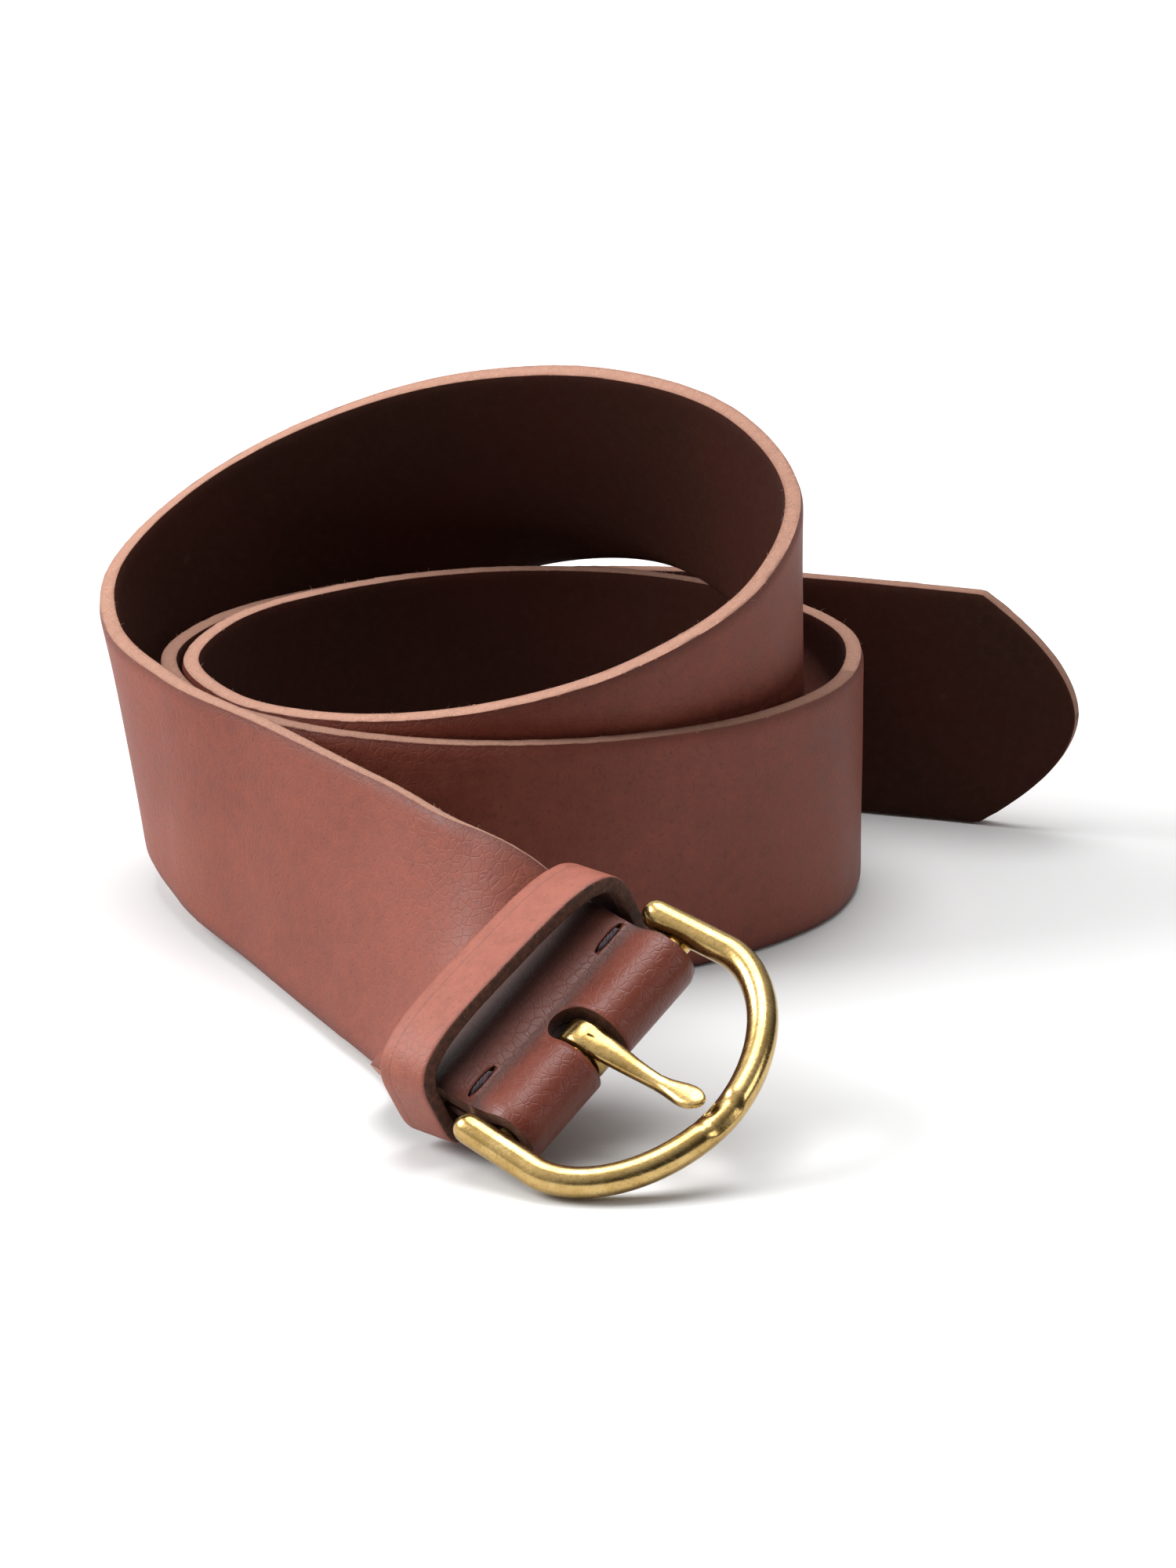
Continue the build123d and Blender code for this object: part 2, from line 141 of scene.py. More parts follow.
def grain_leather(name, tone, dark_tone):
    """Smooth waxed grain: cloudy dye, fine pores, a soft sheen."""
    k = Nodes(name)
    cloud = k.noise(28, 5, 0.6)
    fine = k.noise(420, 5, 0.65)
    speck = k.noise(1500, 2, 0.5)
    pores = k.voronoi(900)
    cells = k.voronoi(650, "DISTANCE_TO_EDGE")
    colour = k.mix(k.map(cloud, 0.32, 0.7), dark_tone, tone)
    colour = k.mix(k.map(fine, 0.35, 0.68, 0.0, 0.35), colour, tuple(c * 1.35 for c in tone))
    colour = k.mix(k.map(speck, 0.58, 0.72, 0.0, 0.4), colour, tuple(c * 0.55 for c in dark_tone))
    colour = k.mix(k.map(pores, 0.0, 0.16, 0.4, 0.0), colour, tuple(c * 0.45 for c in dark_tone))
    worn = k.attr("edge")
    colour = k.mix(k.math("MULTIPLY", worn, 0.55), colour, tuple(c * 0.5 for c in dark_tone))
    # painted shade: the grain goes dark grey inside the keeper's mouth and along the keeper's crease
    painted_shade = k.attr("shade")
    colour = k.mix(painted_shade, colour, (0.030, 0.019, 0.0175))
    bend = k.attr("bend")
    colour = k.mix(k.math("MULTIPLY", bend, 0.7), colour, tuple(c * 0.95 for c in dark_tone))
    height = k.math("ADD", k.math("MULTIPLY", k.map(cells, 0.0, 0.09), 0.5), k.math("MULTIPLY", fine, 0.9))
    normal = k.bump(height, 0.00011, 0.55)
    normal = k.bump(speck, 0.00005, 0.5, normal)
    rough = k.math("SUBTRACT", k.map(fine, 0.3, 0.7, 0.5, 0.62), k.math("MULTIPLY", bend, 0.17))
    return k.finish(
        Base_Color=colour, Roughness=rough, Normal=normal, Specular_IOR_Level=0.36,
        Coat_Weight=0.03, Coat_Roughness=0.4,
    )


def flesh_leather(name):
    """The inside of the strap: dyed nearly black, matt, with reddish patches."""
    k = Nodes(name)
    cloud = k.noise(22, 5, 0.6)
    fibre = k.noise(700, 6, 0.7, distortion=0.6)
    speck = k.noise(160, 3, 0.5)
    colour = k.mix(k.map(cloud, 0.35, 0.7), (0.0265, 0.0088, 0.0048), (0.042, 0.0082, 0.0044))
    colour = k.mix(k.map(fibre, 0.45, 0.75, 0.0, 0.5), colour, (0.045, 0.017, 0.0115))
    colour = k.mix(k.map(speck, 0.72, 0.8, 0.0, 0.3), colour, (0.085, 0.05, 0.036))
    normal = k.bump(fibre, 0.0002, 0.6)
    return k.finish(Base_Color=colour, Roughness=0.8, Normal=normal, Specular_IOR_Level=0.12)


def raw_edge(name):
    """The cut edge: pale tan fibres with dark specks, darker at its corners."""
    k = Nodes(name)
    grit = k.noise(950, 5, 0.75)
    lump = k.noise(420, 4, 0.6)
    dots = k.voronoi(1250)
    pale = (0.215, 0.100, 0.068)
    colour = k.mix(k.map(lump, 0.32, 0.68), (0.140, 0.055, 0.035), pale)
    colour = k.mix(k.map(grit, 0.40, 0.60, 0.8, 0.0), colour, (0.085, 0.028, 0.017))
    colour = k.mix(k.map(dots, 0.02, 0.28, 0.0, 0.35), (0.46, 0.26, 0.19), colour)
    corner = k.attr("edge")
    colour = k.mix(k.math("MULTIPLY", corner, 0.65), colour, (0.10, 0.032, 0.02))
    # painted shade on the rims of the fold round the bar, and darker rims on the last turn
    low = k.attr("rim_shade_and_darkening")
    colour = k.mix(low, colour, (0.055, 0.02, 0.012))
    height = k.math("ADD", k.math("MULTIPLY", grit, 1.0), k.math("MULTIPLY", lump, 0.8))
    normal = k.bump(height, 0.00035, 0.9)
    return k.finish(Base_Color=colour, Roughness=0.9, Normal=normal, Specular_IOR_Level=0.2)


def burnished_edge(name):
    """The keeper's and the slot's edges: dyed brown, rubbed, with a few pale fibres."""
    k = Nodes(name)
    grit = k.noise(1100, 5, 0.7)
    fleck = k.voronoi(620)
    colour = k.mix(k.map(grit, 0.35, 0.68), (0.030, 0.0105, 0.0055), (0.105, 0.036, 0.019))
    colour = k.mix(k.map(fleck, 0.0, 0.09, 0.65, 0.0), colour, (0.42, 0.22, 0.13))
    line = k.attr("line")
    colour = k.mix(line, colour, (0.33, 0.145, 0.085))
    normal = k.bump(grit, 0.00028, 0.9)
    return k.finish(Base_Color=colour, Roughness=0.66, Normal=normal, Specular_IOR_Level=0.35)


def brass(name):
    """Solid brass, brushed by wear: fine scratches, golden specks, a duller lower side."""
    k = Nodes(name)
    cloud = k.noise(150, 5, 0.65)
    speck = k.noise(1700, 4, 0.75)
    scratch = k.noise(300, 6, 0.75, vector=k.stretch(1.0, 7.0, 3.0), distortion=1.2)
    low = k.attr("low")
    colour = k.mix(k.map(cloud, 0.35, 0.68), (0.44, 0.280, 0.090), (0.64, 0.455, 0.190))
    colour = k.mix(k.map(speck, 0.52, 0.66, 0.0, 0.55), colour, (0.26, 0.145, 0.040))
    dull = k.mix(k.map(speck, 0.44, 0.58), (0.20, 0.112, 0.028), (0.72, 0.50, 0.17))
    colour = k.mix(k.math("MULTIPLY", low, 0.9), colour, dull)
    # painted shade: darker brass in the tongue's notch
    colour = k.mix(k.attr("shade"), colour, (0.05, 0.028, 0.012))
    rough = k.math("ADD", k.map(scratch, 0.4, 0.75, 0.19, 0.34), k.math("MULTIPLY", low, 0.15))
    normal = k.bump(scratch, 0.00001, 0.3)
    normal = k.bump(k.math("MULTIPLY", speck, k.math("ADD", low, 0.2)), 0.00010, 0.6, normal)
    return k.finish(Base_Color=colour, Roughness=rough, Normal=normal, Metallic=1.0)


def thread(name):
    """Waxed purple-brown thread."""
    k = Nodes(name)
    ply = k.noise(900, 4, 0.6)
    colour = k.mix(k.map(ply, 0.35, 0.65), (0.022, 0.010, 0.016), (0.085, 0.038, 0.055))
    return k.finish(Base_Color=colour, Roughness=0.55, Normal=k.bump(ply, 0.0002, 0.8), Sheen_Weight=0.2)


def wire(name):
    """Worn steel wire."""
    k = Nodes(name)
    worn = k.noise(500, 4, 0.6)
    colour = k.mix(k.map(worn, 0.4, 0.7), (0.30, 0.28, 0.25), (0.55, 0.53, 0.5))
    return k.finish(Base_Color=colour, Roughness=k.map(worn, 0.3, 0.7, 0.25, 0.45), Metallic=1.0)


def paper(name):
    """Matt pale paper, faintly uneven."""
    k = Nodes(name)
    tint = k.noise(3.0, 2, 0.5)
    colour = k.mix(k.map(tint, 0.3, 0.7), FLOOR_TONE, tuple(c * 1.02 for c in FLOOR_TONE))
    return k.finish(Base_Color=colour, Roughness=0.95, Specular_IOR_Level=0.0)


FLOOR_TONE = (0.62, 0.62, 0.62)
GRAIN = grain_leather("strap_grain", (0.194, 0.0435, 0.0232), (0.124, 0.0225, 0.0108))
KEEPER_GRAIN = grain_leather("keeper_grain", (0.265, 0.078, 0.049), (0.205, 0.054, 0.032))
FLESH = flesh_leather("strap_flesh")
RAW = raw_edge("strap_raw_edge")
CUT = burnished_edge("cut_edge")
BRASS = brass("buckle_brass")
THREAD = thread("waxed_thread")
WIRE = wire("staple_wire")

# ------------------------------------------------------------------ the belt's own sizes
STRAP_WIDTH = 40.0
HALF_WIDTH = STRAP_WIDTH / 2
STRAP_THICK = 3.2
FLAP_THICK = 2.6
FLAP_INSET = 1.5
FLAP_LENGTH = 10.0
LAYER_GAP = 0.1
COIL_CENTRE = np.array([0.92, -8.4, 0.05])
HINGE = next(j for j in frame["joints"] if j["name"] == "buckle_swing")
BAR = np.array(HINGE["pos_m"], float) / MM
ACROSS = -np.array(HINGE["axis"], float)
ACROSS /= np.linalg.norm(ACROSS)
YAW = math.radians(-34.3)
PITCH = math.radians(16.1)
LEVEL = math.cos(PITCH)
FORWARD = np.array([math.cos(YAW) * LEVEL, math.sin(YAW) * LEVEL, -math.sin(PITCH)])
FORWARD -= ACROSS * FORWARD.dot(ACROSS)
FORWARD /= np.linalg.norm(FORWARD)
OUTWARD = np.cross(FORWARD, ACROSS)
FOLD_SHIFT = -0.5
TOP_MIDDLE = 1.65
UNDER_MIDDLE = -1.35
FOLD_MIDDLE = 3.7
FOLD_PINCH = -6.5
FOLD_END = -12.5
ROLL_ARC = 105.0
FLAP_MARK = -30.0
TONGUE_V = -1.2
TACK_U = -7.9
TACK_V = 15.7
HOLE_COUNT = 5
HOLE_RADIUS = 2.5
HOLE_PITCH = 25.0
FIRST_HOLE = 105.0
WIRE_RADIUS = 2.4
WIRE_DROP = 1.9
ARM_BACK = -4.9
ARM_FRONT = 8.1
ARM_HALF_BACK = 23.4
ARM_HALF_FRONT = 24.0
BOW_REACH = 17.2
BOW_POWER = 1.86

# Stations along the strap: lower edge of its middle layer (x, y, z) and lean of its upper edge
STATIONS = [
    (-26.8, -73.7, 8.0, 22.9, 24.7),
    (-26.7, -59, 3.2, 8, 18.1),
    (-38.6, -32.8, 1.6, 6, 6.9),
    (-51.9, -6.7, 2.3, 2.1, 0.2),
    (-64.6, 18, 3.6, -1.7, -5.2),
    (-70.3, 39.8, 6.7, -5.8, -8.5),
    (-63.5, 57.5, 13.1, -13.3, -8.7),
    (-48.9, 69.3, 22, -15.7, -4.9),
    (-29, 78.1, 31.9, -14.5, -7.4),
    (-6.9, 80.3, 40.4, -11.9, -12.7),
    (12.8, 72.4, 43.3, -8.6, -14.5),
    (26.4, 56.5, 39.7, -2.6, -13.8),
    (32.9, 39, 32.9, -0.4, -15.3),
    (31.3, 22.1, 24.4, -5.3, -15.7),
    (18, 8.8, 15.4, -9.5, -12.7),
    (-5.2, 2.8, 7.5, -9.2, -9),
    (-30.4, 5.5, 2.4, -7.6, -5.7),
    (-50.6, 15.7, 0.4, -5.2, -3.2),
    (-59, 30.5, 0.8, -4.8, -1.1),
    (-55.3, 47.2, 1.7, -2.3, -0.4),
    (-39.5, 62, 2.4, 0, -0.8),
    (-15.3, 70, 2.4, 0.6, -0.2),
    (10.5, 68.9, 1.6, 0.7, 0.6),
    (31.6, 59.6, 0.6, 0.2, -0.6),
    (42.3, 42.9, 0.3, -0.2, -0.2),
    (39.8, 23.8, 0, 1, -1.1),
    (25.8, 5.9, 0, 1.5, -1.3),
    (4.2, -6, 0, 0.2, -0.3),
    (-21.5, -7.5, 0, -0.2, -0.6),
    (-44.5, 1, 0, -1.1, -1.3),
    (-59.5, 16.5, 0, -3, -1.4),
    (-64.7, 34.6, 0, -2.7, -0.3),
    (-59.9, 52.2, 0, 0, 0.3),
    (-44.9, 66.6, 0, 0.9, -0.5),
    (-23.1, 75.1, 0, 0.3, -0.6),
    (2, 77.6, 0, 0, -0.3),
    (28.5, 74.5, 0, 0.2, 0.7),
    (55.6, 67.8, 0, 0.1, 0.1),
]
TAIL_END = (81.5, 59.6, 0, 0, -0.1)

# ------------------------------------------------------------------ the strap's route


def at(u, v, n):
    """A point in the buckle's own axes, in millimetres."""
    return BAR + FORWARD * u + ACROSS * v + OUTWARD * n


def start_station(u):
    """The strap's station u behind the bar, where it still lies flat in the buckle's plane."""
    low = at(u, FOLD_SHIFT - HALF_WIDTH, TOP_MIDDLE) + COIL_CENTRE
    lean = ACROSS * STRAP_WIDTH
    return (low[0], low[1], low[2], lean[0], lean[1])


def middle(station):
    """The middle of the strap at a station."""
    x, y, z, lean_x, lean_y = station
    rise = math.sqrt(STRAP_WIDTH**2 - lean_x**2 - lean_y**2)
    return np.array([x + lean_x / 2, y + lean_y / 2, z + rise / 2])


STARTS = [start_station(FOLD_PINCH), start_station(FOLD_END)]
ROUTE = np.array(STARTS + STATIONS + [TAIL_END], float)
GAPS = [float(np.linalg.norm(middle(a) - middle(b))) for a, b in zip(ROUTE, ROUTE[1:])]


def slope(i):
    """Rate of change of the route at station i, per millimetre."""
    if i == 0:
        return (ROUTE[1] - ROUTE[0]) / GAPS[0]
    if i == len(ROUTE) - 1:
        return (ROUTE[-1] - ROUTE[-2]) / GAPS[-1]
    before = GAPS[i - 1]
    after = GAPS[i]
    back = (ROUTE[i] - ROUTE[i - 1]) / before
    ahead = (ROUTE[i + 1] - ROUTE[i]) / after
    return (back * after + ahead * before) / (before + after)


SLOPES = [slope(i) for i in range(len(ROUTE))]


def station_at(distance):
    """The station that far along the route from its start, on a cubic between neighbours."""
    i = 0
    while i < len(GAPS) - 1 and distance > GAPS[i]:
        distance -= GAPS[i]
        i += 1
    t = distance / GAPS[i]
    rise = ROUTE[i + 1] - ROUTE[i]
    bend_in = SLOPES[i] * GAPS[i] - rise
    bend_out = rise - SLOPES[i + 1] * GAPS[i]
    return ROUTE[i] + t * rise + t * (1 - t) * ((1 - t) * bend_in + t * bend_out)


def strap_frame(distance):
    """Middle of the strap that far along, and its lengthwise, upward and grain directions."""
    here = station_at(distance)
    along = middle(station_at(distance + 0.5)) - middle(station_at(distance - 0.5))
    along /= np.linalg.norm(along)
    rise = math.sqrt(STRAP_WIDTH**2 - here[3] ** 2 - here[4] ** 2)
    up = np.array([here[3], here[4], rise]) / STRAP_WIDTH
    grain = np.cross(up, along)
    grain /= np.linalg.norm(grain)
    return middle(here) - COIL_CENTRE, along, np.cross(along, grain), grain


ROUTE_START = GAPS[0]
ROUTE_LENGTH = sum(GAPS) - 1.0
LAST_TURN = 560.0


# ------------------------------------------------------------------ mesh helpers
def make_object(name, verts, faces, mats=(), indices=None, attrs=None, smooth=True):
    """A mesh object from points in millimetres."""
    verts = np.asarray(verts, float) * MM
    mesh = bpy.data.meshes.new(name)
    mesh.from_pydata(verts.tolist(), [], [list(map(int, f)) for f in faces])
    for mat in mats:
        mesh.materials.append(mat)
    if indices is not None:
        mesh.polygons.foreach_set("material_index", np.asarray(indices, np.int32))
    mesh.polygons.foreach_set("use_smooth", [smooth] * len(mesh.polygons))
    for key, values in (attrs or {}).items():
        layer = mesh.attributes.new(key, "FLOAT", "POINT")
        layer.data.foreach_set("value", np.asarray(values, np.float32))
    mesh.validate()
    shell = bmesh.new()
    shell.from_mesh(mesh)
    bmesh.ops.recalc_face_normals(shell, faces=shell.faces)
    shell.to_mesh(mesh)
    shell.free()
    mesh.update()
    obj = bpy.data.objects.new(name, mesh)
    SCENE.collection.objects.link(obj)
    return obj


def grid_faces(rows, cols):
    """Quads between successive rings of a tube."""
    faces = []
    for i in range(rows - 1):
        for j in range(cols):
            k = (j + 1) % cols
            faces.append((i * cols + j, i * cols + k, (i + 1) * cols + k, (i + 1) * cols + j))
    return faces


def step(values, low, high):
    """Smooth rise from 0 at low to 1 at high."""
    t = np.clip((np.asarray(values, float) - low) / (high - low), 0, 1)
    return t * t * (3 - 2 * t)


def end_faces(rows, cols):
    """The two faces that close a tube."""
    return [tuple(range(cols))[::-1], tuple(range((rows - 1) * cols, rows * cols))]


def wobble(points, scale, seed):
    """Smooth noise at points in millimetres, about -1 to 1."""
    return np.array([noise.noise(Vector((p * scale + seed).tolist())) for p in points])


# ------------------------------------------------------------------ the strap
def fold_curve():
    """Middle line of the flap, the roll round the bar and the top layer, as (u, n, thickness)."""
    joint_u = FOLD_MIDDLE * math.cos(math.radians(ROLL_ARC))
    joint_n = FOLD_MIDDLE * math.sin(math.radians(ROLL_ARC)) + 0.006
    rows = []
    for t in np.linspace(0, 1, 9)[:-1]:
        p = hermite((FOLD_PINCH, UNDER_MIDDLE), (joint_u, -joint_n), (6.0, 0.0), (5.6, -1.6), t)
        rows.append((p[0], p[1], FLAP_THICK + (STRAP_THICK - FLAP_THICK) * t))
    for angle in np.linspace(-ROLL_ARC, ROLL_ARC, 43):
        a = math.radians(angle)
        rows.append((FOLD_MIDDLE * math.cos(a), FOLD_MIDDLE * math.sin(a), STRAP_THICK))
    for t in np.linspace(0, 1, 9)[1:]:
        p = hermite((joint_u, joint_n), (FOLD_PINCH, TOP_MIDDLE), (-5.6, -1.6), (-6.0, 0.0), t)
        rows.append((p[0], p[1], STRAP_THICK))
    return rows


def hermite(a, b, ma, mb, t):
    """A point on the cubic from a to b that leaves along ma and arrives along mb."""
    h = (2 * t**3 - 3 * t**2 + 1, t**3 - 2 * t**2 + t, -2 * t**3 + 3 * t**2, t**3 - t**2)
    return [h[0] * a[i] + h[1] * ma[i] + h[2] * b[i] + h[3] * mb[i] for i in range(2)]


def strap_rows():
    """Every cross-section along the leather: middle, up, grain, thickness, half width, length."""
    rows = []
    for d in np.linspace(FLAP_LENGTH, 0.5, 20):
        mid, along, up, grain = strap_frame(ROUTE_START + d)
        thick = FLAP_THICK - d * 0.1
        mid = mid - grain * (LAYER_GAP + (STRAP_THICK + thick) / 2)
        rows.append((mid, up, -grain, thick, HALF_WIDTH - FLAP_INSET, FLAP_MARK - FLAP_LENGTH - d))
    for u, inset in ((FOLD_END, FLAP_INSET), (-11.0, 0), (-9.5, 0), (-8.0, 0), (-7.2, 0)):
        mid = at(u, FOLD_SHIFT, UNDER_MIDDLE)
        rows.append((mid, ACROSS, -OUTWARD, FLAP_THICK, HALF_WIDTH - inset, FLAP_MARK + u))
    curve = fold_curve()
    for i, (u, n, thick) in enumerate(curve):
        before = curve[max(i - 1, 0)]
        after = curve[min(i + 1, len(curve) - 1)]
        du = after[0] - before[0]
        dn = after[1] - before[1]
        size = math.hypot(du, dn)
        grain = FORWARD * (dn / size) - OUTWARD * (du / size)
        rows.append((at(u, FOLD_SHIFT, n), ACROSS, grain, thick, HALF_WIDTH, FLAP_MARK + i * 0.5))
    for u in np.linspace(-7.2, -12.0, 9):
        mid = at(u, FOLD_SHIFT, TOP_MIDDLE)
        rows.append((mid, ACROSS, OUTWARD, STRAP_THICK, HALF_WIDTH, FOLD_END - u))
    for d in np.arange(ROUTE_START, ROUTE_LENGTH - TIP_ROWS[0], 0.9):
        mid, along, up, grain = strap_frame(d)
        rows.append((mid, up, grain, STRAP_THICK, HALF_WIDTH, d - ROUTE_START))
    for back in TIP_ROWS:
        mid, along, up, grain = strap_frame(ROUTE_LENGTH - back)
        length = ROUTE_LENGTH - ROUTE_START - back
        rows.append((mid, up, grain, STRAP_THICK, tip_half_width(back), length))
    return rows


TIP_REACH = 16.2
# How far before the very tip the closing cross-sections lie
TIP_ROWS = [22, 20.5, 19, 17.8, *range(17, 3, -1), 3.2, 2.4, 1.7, 1.1, 0.7, 0.4, 0.2, 0.08, 0.02]


def tip_half_width(back):
    """Half width of the rounded point that far before its very tip."""
    return HALF_WIDTH * min(back / TIP_REACH, 1.0) ** 0.53


# Places across a face and down a rim, closer together at the corners
CORNER = [0.94, 0.975, 0.992, 1]
WIDE = np.concatenate([[-c for c in CORNER[::-1]], np.linspace(-0.88, 0.88, 21), CORNER])
THIN = np.array([0.72, 0.4, 0.0, -0.4, -0.72])


def ring_shape(h, w):
    """(across, outward, part, edge) round the strap: part 0 grain, 1 rim, 2 flesh."""
    ring = []
    for s in WIDE:
        x = s * (w - 0.05)
        drop = 0.42 * step(abs(x), w - 1.5, w)
        ring.append((x, h - drop, 0, float(step(abs(x), w - 1.9, w - 0.3))))
    for t in THIN:
        ring.append((w + 0.12 * (1 - t * t) - 0.1, t * h, 1, abs(t) ** 3))
    for s in WIDE[::-1]:
        x = s * (w - 0.05)
        drop = 0.3 * step(abs(x), w - 1.0, w)
        ring.append((x, -h + drop, 2, float(step(abs(x), w - 1.5, w - 0.3))))
    for t in THIN[::-1]:
        ring.append((-w - 0.12 * (1 - t * t) + 0.1, t * h, 1, abs(t) ** 3))
    return ring


def build_strap():
    """The whole strap as one closed tube of rings, with marks that its materials read."""
    rows = strap_rows()
    verts = []
    parts = []
    edge = []
    along_at = []
    side = []
    for mid, up, grain, thick, half, length in rows:
        for x, y, part, e in ring_shape(thick / 2, half):
            verts.append(mid + up * x + grain * y)
            parts.append(part)
            edge.append(e)
            along_at.append(length)
            side.append(math.copysign(1.0, x) if x else 0.0)
    verts = np.array(verts)
    cols = len(ring_shape(STRAP_THICK / 2, HALF_WIDTH))
    faces = grid_faces(len(rows), cols)
    parts = np.array(parts)
    along_at = np.array(along_at)
    # slight unevenness of the leather and its cut rims
    rough_rim = wobble(verts, 1.1, 3.0) * 0.10 + wobble(verts, 0.35, 9.0) * 0.12
    wave = wobble(verts, 0.06, 5.0) * 0.12
    outward = np.repeat(np.array([r[2] for r in rows]), cols, axis=0)
    upward = np.repeat(np.array([r[1] for r in rows]), cols, axis=0)
    verts = verts + upward * (np.where(parts == 1, rough_rim, 0) * np.array(side))[:, None]
    verts = verts + outward * (np.where(along_at > 12, wave, 0))[:, None]
    verts[:, 2] = np.maximum(verts[:, 2], 0.0)
    kinds = []
    for f in faces:
        ps = [parts[i] for i in f]
        kinds.append(1 if 1 in ps else (0 if 0 in ps else 2))
    faces += end_faces(len(rows), cols)
    kinds += [1, 1]
    # painted shade on the grain inside the keeper, darker round the bar, painted shade on the rims of the
    # fold and darker rims on the last turn
    shade = 0.85 * step(along_at, -4.5, 1.5) * (1 - step(along_at, 8.5, 10.5)) * (parts == 0)
    bend = step(along_at, FLAP_MARK - 1, FLAP_MARK) * (1 - step(along_at, -5.5, -1.5))
    # painted shade on the fold's rims; the last turn's rims only a little darker
    rim_shade_and_darkening = np.where(along_at < -1, 0.8, 0.0)
    rim_shade_and_darkening = np.maximum(rim_shade_and_darkening, np.where(along_at > LAST_TURN, 0.35, 0.0))
    return make_object(
        "strap_leather", verts, faces, (GRAIN, RAW, FLESH, CUT), kinds,
        {"edge": edge, "shade": shade, "bend": bend, "rim_shade_and_darkening": rim_shade_and_darkening, "line": np.zeros(len(verts))},
    )


# ------------------------------------------------------------------ cutters
def prism(name, outline, base, side, out, low, high):
    """A straight-sided cutter: outline in (side a, side b), from low to high along out."""
    verts = [base + side[0] * a + side[1] * b + out * low for a, b in outline]
    verts += [base + side[0] * a + side[1] * b + out * high for a, b in outline]
    n = len(outline)
    faces = [(i, (i + 1) % n, n + (i + 1) % n, n + i) for i in range(n)]
    return make_object(name, verts, faces + end_faces(2, n), (CUT,), smooth=False)


def cut(obj, tool):
    """Takes a cutter out of an object and removes it."""
    mod = obj.modifiers.new("cut", "BOOLEAN")
    mod.object = tool
    mod.operation = "DIFFERENCE"
    mod.solver = "EXACT"
    mod.material_mode = "TRANSFER"
    apply(obj)
    bpy.data.objects.remove(tool)


def apply(obj):
    """Makes an object's modifiers part of its mesh."""
    graph = bpy.context.evaluated_depsgraph_get()
    mesh = bpy.data.meshes.new_from_object(obj.evaluated_get(graph), depsgraph=graph)
    obj.modifiers.clear()
    obj.data = mesh


def slot_outline():
    """The tongue slot in (u, v): round at the rear, open past the front of the fold."""
    half, rear, front = 3.4, -2.6, 12.0
    pts = [(front, TONGUE_V + half)]
    for angle in np.linspace(90, 270, 25):
        a = math.radians(angle)
        pts.append((rear + half * math.cos(a), TONGUE_V + half * math.sin(a)))
    return pts + [(front, TONGUE_V - half)]


def ellipse(u, v, half_u, half_v, count):
    """An oval outline round (u, v)."""
    turn = np.linspace(0, 2 * math.pi, count + 1)[:-1]
    return [(u + half_u * math.cos(a), v + half_v * math.sin(a)) for a in turn]


strap = build_strap()
cut(strap, prism("slot_cutter", slot_outline(), BAR, (FORWARD, ACROSS), OUTWARD, -9.0, 9.0))
for hole in range(HOLE_COUNT):
    mid, along, up, grain = strap_frame(ROUTE_LENGTH - FIRST_HOLE - HOLE_PITCH * hole)
    circle = ellipse(0, 0, HOLE_RADIUS, HOLE_RADIUS, 32)
    cut(strap, prism("hole_cutter", circle, mid, (along, up), grain, -1.85, 1.85))
for side in (-1, 1):
    slit = ellipse(TACK_U, FOLD_SHIFT + side * TACK_V, 0.62, 3.3, 24)
    cut(strap, prism("slit_cutter", slit, BAR, (FORWARD, ACROSS), OUTWARD, 2.35, 5.0))
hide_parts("strap")
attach(strap, "belt")


# ------------------------------------------------------------------ loose fibres on the raw rims
def build_fibres():
    """Short curled hairs standing on the upper rim, each a thin three-sided spike."""
    verts = []
    faces = []
    for _ in range(FIBRE_COUNT):
        d = RNG.uniform(20, ROUTE_LENGTH - 40 - ROUTE_START)
        if d > LAST_TURN and RNG.uniform() < 0.6:
            continue
        mid, along, up, grain = strap_frame(ROUTE_START + d)
        base = mid + up * (HALF_WIDTH - 0.1) + grain * RNG.uniform(-1.5, 1.5)
        lean = RNG.normal(0, 1, 3)
        lean = up * abs(lean[0]) + along * lean[1] * 1.4 + grain * lean[2] * 0.9
        lean /= np.linalg.norm(lean)
        size = RNG.uniform(0.25, 0.75)
        curl = np.cross(lean, RNG.normal(0, 1, 3)) * size * 0.4
        side = np.cross(lean, grain)
        side /= np.linalg.norm(side) + 1e-9
        thick = RNG.uniform(0.018, 0.035)
        hair = []
        for t in (0, 0.4, 0.75, 1.0):
            p = base + lean * size * t + curl * t * t
            r = thick * (1 - 0.8 * t)
            for k in range(3):
                a = 2.094 * k
                hair.append(p + side * r * math.cos(a) + grain * r * math.sin(a))
        faces += [tuple(len(verts) + k for k in f) for f in grid_faces(4, 3) + end_faces(4, 3)]
        verts += hair
    return make_object("rim_fibres", verts, faces, (FIBRE,))


def fibre_material():
    """Pale, dry leather fibre."""
    k = Nodes("loose_fibre")
    tint = k.noise(300, 3, 0.5)
    return k.finish(Base_Color=k.mix(tint, (0.30, 0.15, 0.10), (0.72, 0.46, 0.36)), Roughness=0.85)


FIBRE = fibre_material()
FIBRE_COUNT = 1500
fibres = build_fibres()
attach(fibres, "belt")


# ------------------------------------------------------------------ tube helper
def tube(points, radii, ring, up=None):
    """Points and faces of a round tube, radius by point. up keeps its rings from turning."""
    points = np.asarray(points, float)
    tangents = np.gradient(points, axis=0)
    tangents /= np.linalg.norm(tangents, axis=1)[:, None]
    verts = []
    ref = OUTWARD if up is None else up
    for p, t, r in zip(points, tangents, radii):
        a = np.cross(t, ref)
        a /= np.linalg.norm(a)
        b = np.cross(a, t)
        ref = b if up is None else up
        for k in range(ring):
            q = 2 * math.pi * k / ring
            verts.append(p + (a * math.cos(q) + b * math.sin(q)) * r)
    return verts, grid_faces(len(points), ring) + end_faces(len(points), ring)


